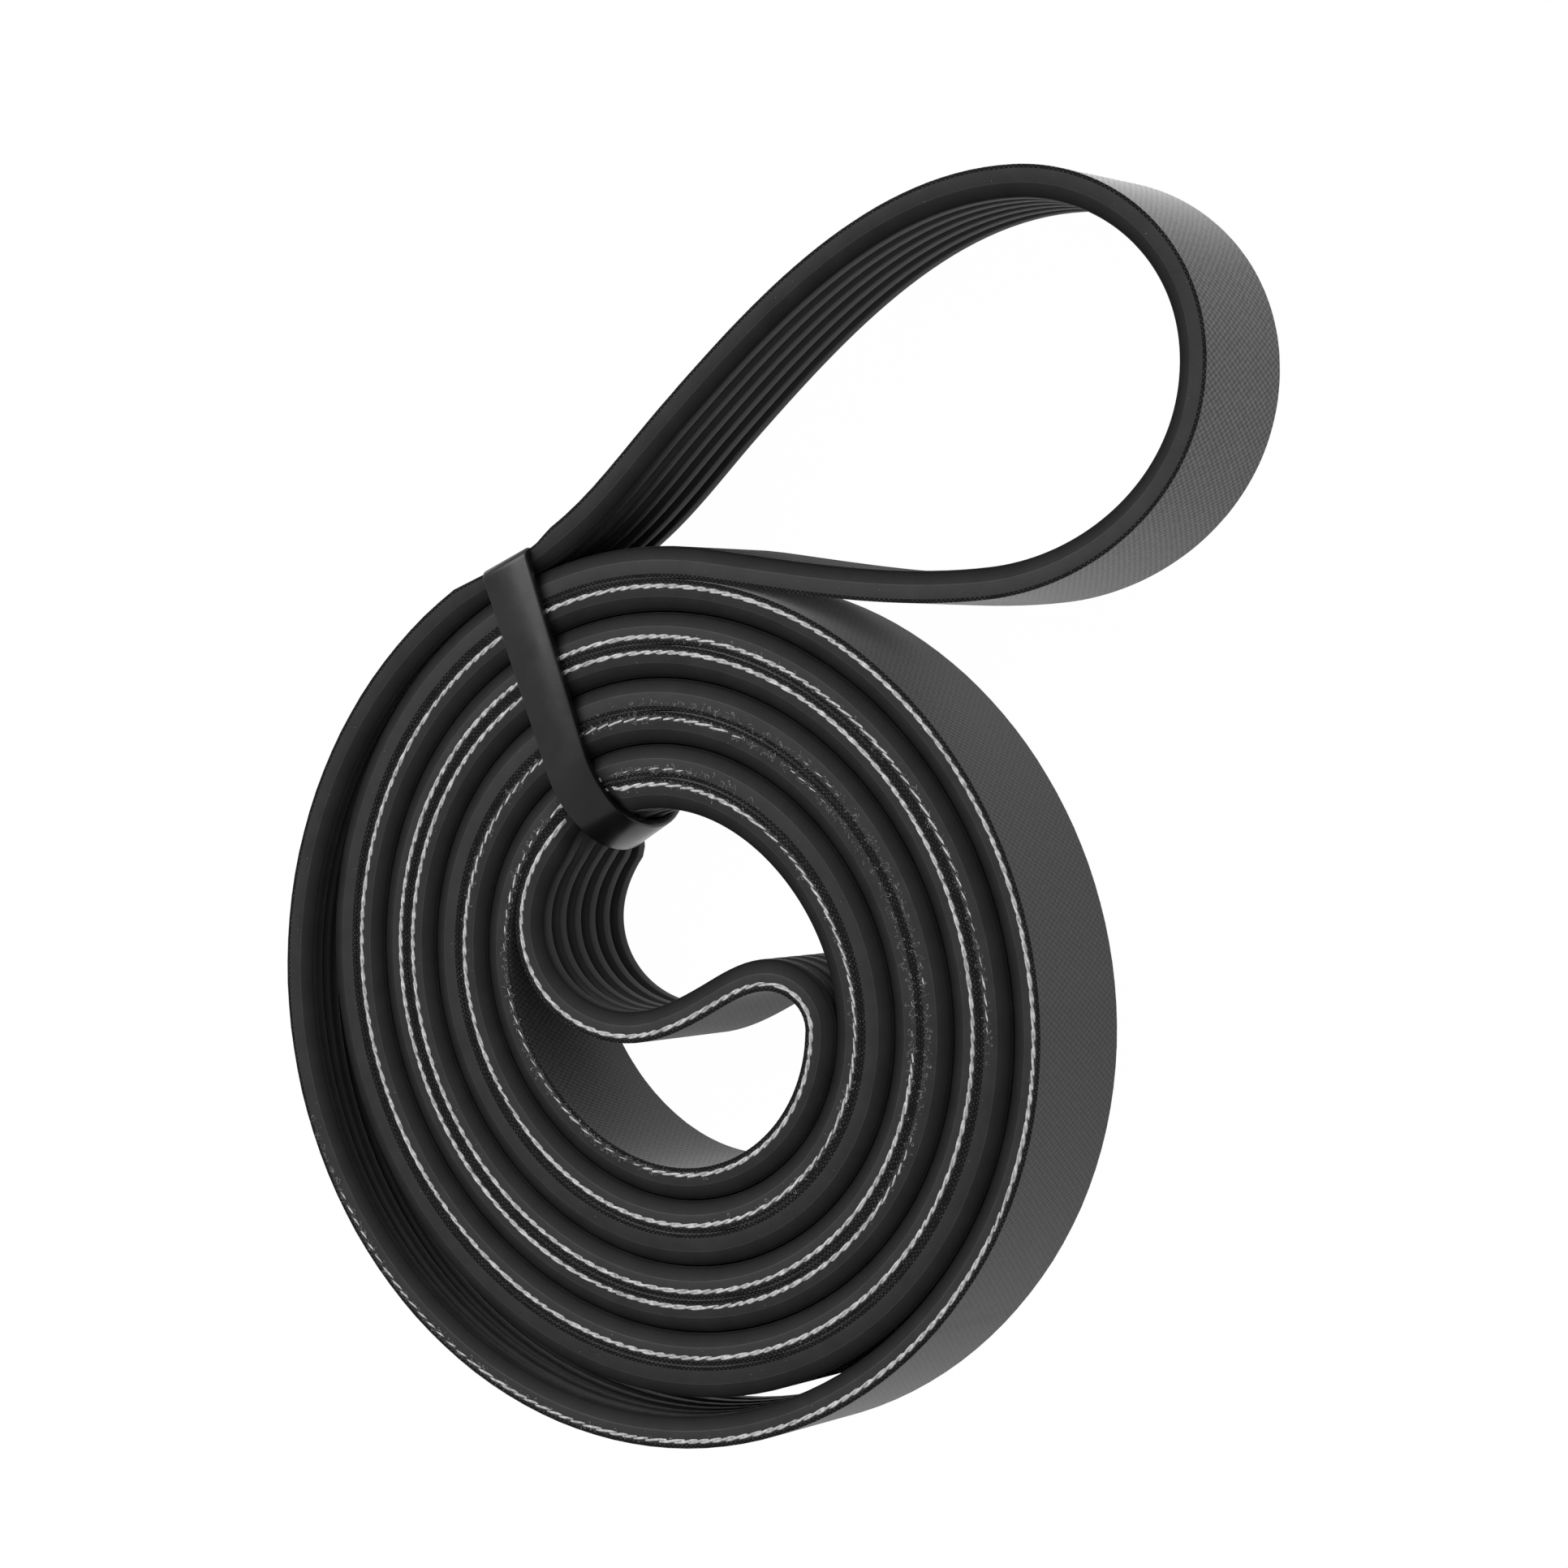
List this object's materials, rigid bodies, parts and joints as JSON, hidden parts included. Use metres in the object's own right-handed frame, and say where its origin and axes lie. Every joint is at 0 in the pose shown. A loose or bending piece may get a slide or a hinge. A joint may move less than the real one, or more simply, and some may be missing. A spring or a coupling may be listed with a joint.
{
  "type": "serpentine belt",
  "caption": "Endless ribbed rubber belt, wound two strands deep into a flat coil with a free loop and held by a rubber tie band.",
  "frame": {"origin": "middle of the bottom of the whole part's bounding box, on the surface that it lies on", "axes": "+Z along the coil's axis, up from the surface; +Y along the longest extent, towards the free loop; +X towards the free loop's rounded end"},
  "size_m": [0.1456, 0.165, 0.0243],
  "materials": {
    "rubber": "matte cut and ground rubber",
    "fabric": "fine black woven backing, rubber soaked",
    "cord": "white twisted cord",
    "band_rubber": "smooth semi-gloss rubber"
  },
  "bodies": {
    "root": {"ribbed_body": "rubber", "backing_fabric": "fabric", "tension_cord": "cord", "tie_band": "band_rubber"}
  },
  "joints": []
}
